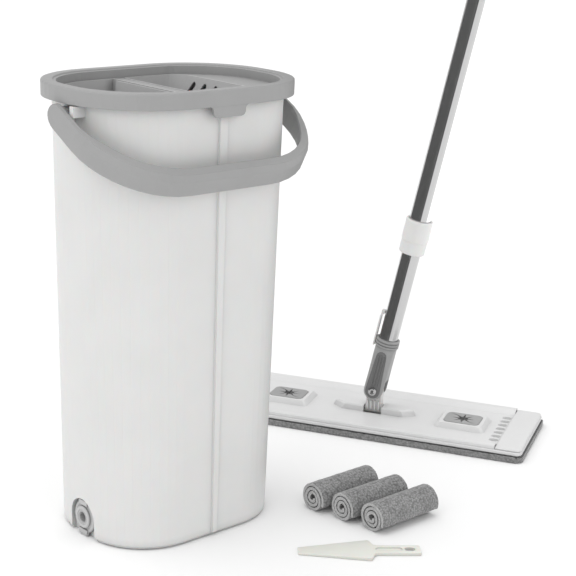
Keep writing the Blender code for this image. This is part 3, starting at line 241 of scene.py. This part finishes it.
def microfibre(name, code, tip_code, shade_code, loop=LOOP, fuzz=0.35):
    """Looped microfibre: painted shade between the loops, pale fibre ends, a soft sheen at the edge.
    """
    made, tree, shader = new_material(name, Roughness=0.95, Sheen_Weight=fuzz, Sheen_Roughness=0.5,
                                      IOR=1.5)
    place = add(tree, "TexCoord").outputs["Object"]
    loops = add(tree, "TexVoronoi", {"Scale": 1 / loop, "Randomness": 1.0}, Vector=place)
    fibres = add(tree, "TexNoise", {"Scale": 2.6 / loop, "Detail": 3.0}, Vector=place)
    clouds = add(tree, "TexNoise", {"Scale": 60.0, "Detail": 2.0}, Vector=place)
    # Painted shade: the colour ramp darkens from the loop tops into the hollows between them.
    ramp = add(tree, "ValToRGB", Fac=loops.outputs["Distance"])
    ramp.color_ramp.elements[0].color = colour(tip_code)
    ramp.color_ramp.elements[0].position = 0.05
    ramp.color_ramp.elements[1].color = colour(shade_code)
    ramp.color_ramp.elements[1].position = 0.85
    mixed = add(tree, "Mix", {"data_type": "RGBA", "blend_type": "MIX"})
    mixed.inputs[7].default_value = colour(code)
    tree.links.new(ramp.outputs["Color"], mixed.inputs[6])
    amount = add(tree, "MapRange", {"From Min": 0.35, "From Max": 0.65, "To Min": 0.15,
                                    "To Max": 0.75}, Value=fibres.outputs[0])
    tree.links.new(amount.outputs[0], mixed.inputs[0])
    shaded = add(tree, "Mix", {"data_type": "RGBA", "blend_type": "MULTIPLY"})
    shaded.inputs[0].default_value = 0.35
    tree.links.new(mixed.outputs[2], shaded.inputs[6])
    tree.links.new(clouds.outputs[0], shaded.inputs[7])
    tree.links.new(shaded.outputs[2], shader.inputs["Base Color"])
    height = add(tree, "Math", {"operation": "SUBTRACT"})
    height.inputs[0].default_value = 1.0
    tree.links.new(loops.outputs["Distance"], height.inputs[1])
    bump = add(tree, "Bump", {"Strength": 0.8, "Distance": 0.0006}, Height=height.outputs[0])
    finer = add(tree, "Bump", {"Strength": 0.5, "Distance": 0.0002}, Height=fibres.outputs[0],
                Normal=bump.outputs[0])
    tree.links.new(finer.outputs[0], shader.inputs["Normal"])
    return made


pad_cloth = microfibre("grey_microfibre_pile", "8E8E8E", "B4B4B4", "666666")
roll_cloth = microfibre("grey_microfibre_fleece", "8A8A8A", "C8C8C8", "545454", loop=0.0019)
roll_edge = microfibre("grey_microfibre_cut_edge", "C6C6C6", "E2E2E2", "9C9C9C", loop=0.0011,
                       fuzz=0.2)
print("cloth loops are", LOOP * 1000, "mm across")

# %% Helpers for soft pieces
def pebble(point, cell):
    """Repeatable value from 0 to 1 that varies smoothly over about one cell."""
    x, y, z = (c / cell for c in point)
    return 0.5 + 0.25 * (math.sin(1.9 * x + 0.7 * y + 3.1 * z) * math.cos(2.3 * y - 1.1 * x)
                         + math.sin(2.7 * y + 1.3 * z - 0.4 * x) * math.cos(1.7 * x + 2.1 * z))


def link_mesh(name, points, faces, finish):
    mesh = bpy.data.meshes.new(name)
    mesh.from_pydata(points, [], faces)
    mesh.materials.append(finish)
    made = bpy.data.objects.new(name, mesh)
    bpy.context.scene.collection.objects.link(made)
    return made


def apply_all(piece):
    """Apply the piece's modifiers in order, then smooth its shading."""
    for other in bpy.context.selected_objects:
        other.select_set(False)
    bpy.context.view_layer.objects.active = piece
    piece.select_set(True)
    for modifier in list(piece.modifiers):
        bpy.ops.object.modifier_apply(modifier=modifier.name)
    bpy.ops.object.shade_smooth()
    piece.select_set(False)


# %% Rolled-edge pad
MOP_PLACE = Vector((0.321, 0.051, 0.0))
PAD_SIZE = (0.350, 0.128, 0.006)
PAD_CORNER = 0.009
head_frame = Matrix.Translation(MOP_PLACE) @ Matrix.Rotation(MOP_TURN, 4, "Z")

for item in bpy.context.selected_objects:
    item.select_set(False)
bpy.ops.mesh.primitive_cube_add(size=1.0, location=(0.0, 0.0, PAD_SIZE[2] / 2), scale=PAD_SIZE)
pad = bpy.context.object
pad.name = "microfibre_pad"
bpy.ops.object.transform_apply(location=True, rotation=False, scale=True)
bpy.ops.object.mode_set(mode="EDIT")
bpy.ops.mesh.select_all(action="DESELECT")
bpy.ops.object.mode_set(mode="OBJECT")
for edge in pad.data.edges:
    ends = [pad.data.vertices[v].co for v in edge.vertices]
    edge.select = abs(ends[0].z - ends[1].z) > 0.001
bpy.ops.object.mode_set(mode="EDIT")
bpy.ops.mesh.bevel(offset=PAD_CORNER, segments=6, affect="EDGES")
bpy.ops.object.mode_set(mode="OBJECT")
pad.data.materials.append(pad_cloth)
print("pad outline has", len(pad.data.vertices), "points")

# %% Pad pile
roll = pad.modifiers.new("rolled_edge", "BEVEL")
roll.width = 0.0022
roll.segments = 3
roll.limit_method = "ANGLE"
fine = pad.modifiers.new("even_cells", "REMESH")
fine.mode = "VOXEL"
fine.voxel_size = 0.0013
fine.use_smooth_shade = True
apply_all(pad)
outward = [vertex.normal.copy() for vertex in pad.data.vertices]
for vertex, normal in zip(pad.data.vertices, outward):
    high = vertex.co.z > PAD_SIZE[2] - 0.0008
    inside = abs(vertex.co.x) < PAD_SIZE[0] / 2 - 0.004 and abs(vertex.co.y) < PAD_SIZE[1] / 2 - 0.004
    if high and inside:
        vertex.co.z = PAD_SIZE[2] - 0.0002
    elif vertex.co.z < 0.0012:
        vertex.co.z = 0.0002 + 0.0006 * pebble(vertex.co, 0.0035)
    else:
        vertex.co += normal * 0.0005 * (pebble(vertex.co, 0.0030) - 0.6)
pad.data.transform(head_frame)
pad.data.update()
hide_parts("mop_pad")
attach(pad, "pad")
print("pad has", len(pad.data.polygons), "faces")

# %% [markdown]
# ## Three rolled spare pads
#
# Each spare pad is a strip of thick microfibre rolled up from one end, so its ends show a spiral of
# about three turns, with a paler cut edge, and its free edge lies low on one side. It is laid
# along its spiral as a sheet, with a slightly uneven hand-rolled path, and Solidify gives it the
# cloth's thickness. The loops are then pushed out along the normal, as on the pad.

# %% Spiral path
ROLL_LENGTH = 0.074
ROLL_RADIUS = 0.0155
CLOTH = 0.0030
TURNS = 3.1
ROLLS = [((0.1050 + 0.0062 * k, -0.0850 - 0.0330 * k), 11 + k) for k in range(3)]


def spiral(seed):
    """Middle line of the rolled sheet as (y, z) points, from the core out to the free edge."""
    draw = random.Random(seed)
    phase = draw.uniform(0.0, 6.28)
    step = 0.00375
    middle = ROLL_RADIUS - CLOTH / 2
    inner = middle - step * TURNS
    points = []
    for k in range(int(TURNS * 40) + 1):
        turns = k / 40
        angle = math.radians(200) - 2 * math.pi * (TURNS - turns)
        wobble = 0.00022 * math.sin(3 * angle + phase) * min(1.0, (TURNS - turns) * 1.5)
        radius = inner + step * turns + wobble
        points.append((radius * math.cos(angle), radius * math.sin(angle)))
    return points


print("each roll is a strip", round(1000 * sum(math.dist(a, b) for a, b in
                                               zip(spiral(1), spiral(1)[1:]))), "mm long")

# %% Rolled sheets
ACROSS = 44


def rolled_pad(index, place, seed):
    draw = random.Random(seed * 7)
    path = spiral(seed)
    lowest = min(z for _, z in path) - CLOTH / 2
    count = len(path)
    skew = draw.uniform(-0.0012, 0.0012)
    points = []
    for row, (y, z) in enumerate(path):
        shift = skew * math.sin(row / count * 9.0) - 0.0010 * (1 - row / count)
        for column in range(ACROSS + 1):
            x = (ROLL_LENGTH - 0.0016) * column / ACROSS + 0.0008 + shift * 0.4
            points.append((x, y, z - lowest))
    faces = []
    for row in range(count - 1):
        for column in range(ACROSS):
            a = row * (ACROSS + 1) + column
            faces.append((a, a + 1, a + ACROSS + 2, a + ACROSS + 1))
    piece = link_mesh("rolled_cloth_%d" % index, points, faces, roll_cloth)
    piece.data.materials.append(roll_edge)
    thick = piece.modifiers.new("cloth", "SOLIDIFY")
    thick.thickness = CLOTH
    thick.offset = 0.0
    thick.material_offset_rim = 1
    soft = piece.modifiers.new("soft_edge", "BEVEL")
    soft.width = 0.0009
    soft.segments = 2
    soft.limit_method = "ANGLE"
    soft.angle_limit = math.radians(50)
    apply_all(piece)
    outward = [vertex.normal.copy() for vertex in piece.data.vertices]
    for vertex, normal in zip(piece.data.vertices, outward):
        out = pebble(vertex.co + Vector((0.013 * index, 0.0, 0.0)), 0.0026)
        vertex.co += normal * 0.00045 * (out - 0.62)
        vertex.co.z = max(vertex.co.z, 0.0001)
    piece.data.transform(Matrix.Translation((place[0], place[1], 0.0)))
    piece.data.update()
    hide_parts("cloth_roll_%d" % index)
    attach(piece, "roll_%d" % index)
    return piece


rolls = [rolled_pad(k + 1, place, seed) for k, (place, seed) in enumerate(ROLLS)]
print([len(piece.data.polygons) for piece in rolls], "faces in the rolls")

# %% [markdown]
# ## Scraper
#
# The scraper is a thin moulding with a broad blade that narrows to a straight tip, and a handle
# with a channel and a hanging hole. A moulding has no sharp edges, and its blade gets thinner
# towards the tip, so that it slides under what it lifts. The CAD piece already has the outline.
# A copy of it is merged, its flat faces are joined again, the two upper corners of its tip are
# lowered so that the blade tapers, and a bevel rounds every edge.

# %% Copy of the scraper's outline
EDGE_ROUND = 0.0005
TIP_THICKNESS = 0.0014
BLADE_LENGTH = 0.064
FULL_THICKNESS = 0.0030

for item in bpy.context.selected_objects:
    item.select_set(False)
source = nodes["scraper"]
scraper = bpy.data.objects.new("moulded_scraper", source.data.copy())
bpy.context.scene.collection.objects.link(scraper)
scraper.matrix_world = source.matrix_world
bpy.context.view_layer.objects.active = scraper
scraper.select_set(True)
bpy.ops.object.transform_apply(location=True, rotation=True, scale=True)
bpy.ops.object.mode_set(mode="EDIT")
bpy.ops.mesh.select_all(action="SELECT")
bpy.ops.mesh.remove_doubles(threshold=0.00002)
bpy.ops.mesh.dissolve_limited(angle_limit=math.radians(1))
bpy.ops.mesh.normals_make_consistent(inside=False)
bpy.ops.object.mode_set(mode="OBJECT")
print("scraper outline has", len(scraper.data.polygons), "faces")

# %% Taper and round the scraper
SCRAPER_TIP = Vector((0.0369, -0.1427, 0.0))
SCRAPER_TURN = math.radians(-38.0)
along = Vector((math.cos(SCRAPER_TURN), math.sin(SCRAPER_TURN), 0.0))
for vertex in scraper.data.vertices:
    reach = (vertex.co - SCRAPER_TIP).dot(along)
    if reach < BLADE_LENGTH * 0.5 and vertex.co.z > FULL_THICKNESS / 2:
        vertex.co.z = TIP_THICKNESS
scraper.data.materials.clear()
scraper.data.materials.append(scraper_ivory)
rounding = scraper.modifiers.new("rounded_edges", "BEVEL")
rounding.width = EDGE_ROUND
rounding.segments = 3
rounding.limit_method = "ANGLE"
rounding.angle_limit = math.radians(28)
apply_all(scraper)
bpy.context.view_layer.objects.active = scraper
scraper.select_set(True)
bpy.ops.object.shade_smooth_by_angle(angle=math.radians(35))
scraper.select_set(False)
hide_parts("scraper")
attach(scraper, "scraper_tool")
print("scraper has", len(scraper.data.polygons), "faces")

# %% [markdown]
# ## Room, light and camera
#
# A product like this is shown on a pale sweep under large soft lights: a strong one overhead,
# and weaker ones from the front and the left. A white room alone would leave the polished pole
# almost invisible, so a curved grey card stands along its left side and a bright strip along its
# right one. Only reflections see them: the pole gets its dark stripe, and the floor stays clean.
# The room is drawn full white behind the object, but lights it a little less than that.

# %% Floor
for item in bpy.context.selected_objects:
    item.select_set(False)
bpy.ops.mesh.primitive_plane_add(size=40.0, location=(0.0, 0.0, -0.0002))
floor = bpy.context.object
floor.name = "floor"
paper, _, paper_shader = new_material("matt_white_paper", Roughness=0.9)
paper_shader.inputs["Base Color"].default_value = colour("FCFCFC")
floor.data.materials.append(paper)
print("a floor of white paper")

# %% Surround and lamps
ROOM_LIGHT = 0.74             # strength of the white room on the object
ROOM_SEEN = 1.0               # and behind it

world = bpy.data.worlds.new("studio")
bpy.context.scene.world = world
world.use_nodes = True
sky = world.node_tree.nodes["Background"]
sky.inputs["Color"].default_value = (1.0, 1.0, 1.0, 1.0)
seen = world.node_tree.nodes.new("ShaderNodeLightPath").outputs["Is Camera Ray"]
brightness = add(world.node_tree, "MapRange", {"To Min": ROOM_LIGHT, "To Max": ROOM_SEEN},
                 Value=seen)
world.node_tree.links.new(brightness.outputs[0], sky.inputs["Strength"])


def soft_sun(name, direction, spread, strength):
    """Light from one direction that doesn't fade over the floor; the spread softens its shadow."""
    data = bpy.data.lights.new(name, "SUN")
    data.angle = math.radians(spread)
    data.energy = strength
    made = bpy.data.objects.new(name, data)
    bpy.context.scene.collection.objects.link(made)
    made.rotation_euler = Vector(direction).to_track_quat("-Z", "Y").to_euler()
    return made


soft_sun("overhead_light", (0.25, -0.20, -1.0), 60.0, 0.95)
soft_sun("front_light", (-0.15, 1.0, -0.55), 50.0, 0.28)
soft_sun("left_light", (1.0, 0.20, -0.45), 50.0, 0.30)
bpy.context.scene.view_settings.view_transform = "Standard"
print("three lamps and a white room")


# %% Cards for the reflections
def curved_card(name, start, end, low, high, finish, radius=0.20):
    """Part of a tube round the pole, between two bearings, that only reflections see."""
    bpy.ops.mesh.primitive_grid_add(x_subdivisions=24, y_subdivisions=1, size=1.0)
    card = bpy.context.object
    card.name = name
    for vertex in card.data.vertices:
        bearing = math.radians(start + (vertex.co.x + 0.5) * (end - start))
        vertex.co = (radius * math.cos(bearing), radius * math.sin(bearing),
                     low + (vertex.co.y + 0.5) * (high - low))
    card.rotation_euler = Vector((0, 0, 1)).rotation_difference(pole_axis).to_euler()
    card.location = pole_middle
    card.data.materials.append(finish)
    card.visible_camera = False
    card.visible_diffuse = False
    card.visible_shadow = False
    card.visible_transmission = False
    return card


def middle_of(node):
    """Middle of a node's box, in the world."""
    corners = [node.matrix_world @ Vector(corner) for corner in node.bound_box]
    return sum(corners, Vector()) / len(corners)


pole_middle = (middle_of(nodes["lower_tube"]) + middle_of(nodes["upper_tube"])) / 2
print("the pole's middle is at", [round(c, 3) for c in pole_middle])
felt, _, felt_shader = new_material("grey_felt", Roughness=1.0)
felt_shader.inputs["Base Color"].default_value = colour("6E6E6E")
glow, _, glow_shader = new_material("softbox_cloth", Emission_Strength=1.35)
glow_shader.inputs["Emission Color"].default_value = colour("FFFFFF")
curved_card("dark_card", 91.0, 226.0, -0.60, 0.90, felt)
curved_card("bright_strip", 291.0, 385.0, -0.30, 0.90, glow)

# %% Camera
camera_data = bpy.data.cameras.new("camera")
camera_data.lens = 92.92
camera_data.sensor_width = 36.0
camera = bpy.data.objects.new("camera", camera_data)
bpy.context.scene.collection.objects.link(camera)
yaw, pitch, roll = math.radians(41.91), math.radians(-15.72), math.radians(1.86)
ahead = Vector((math.sin(yaw) * math.cos(pitch), math.cos(yaw) * math.cos(pitch), math.sin(pitch)))
level = Vector((math.cos(yaw), -math.sin(yaw), 0.0))
upright = level.cross(ahead)
right = level * math.cos(roll) + upright * math.sin(roll)
above = upright * math.cos(roll) - level * math.sin(roll)
axes = Matrix((right, above, -ahead)).transposed().to_4x4()
camera.matrix_world = Matrix.Translation((-0.769, -1.0164, 0.5737)) @ axes
bpy.context.scene.camera = camera
print("camera looks along", tuple(round(c, 3) for c in ahead))
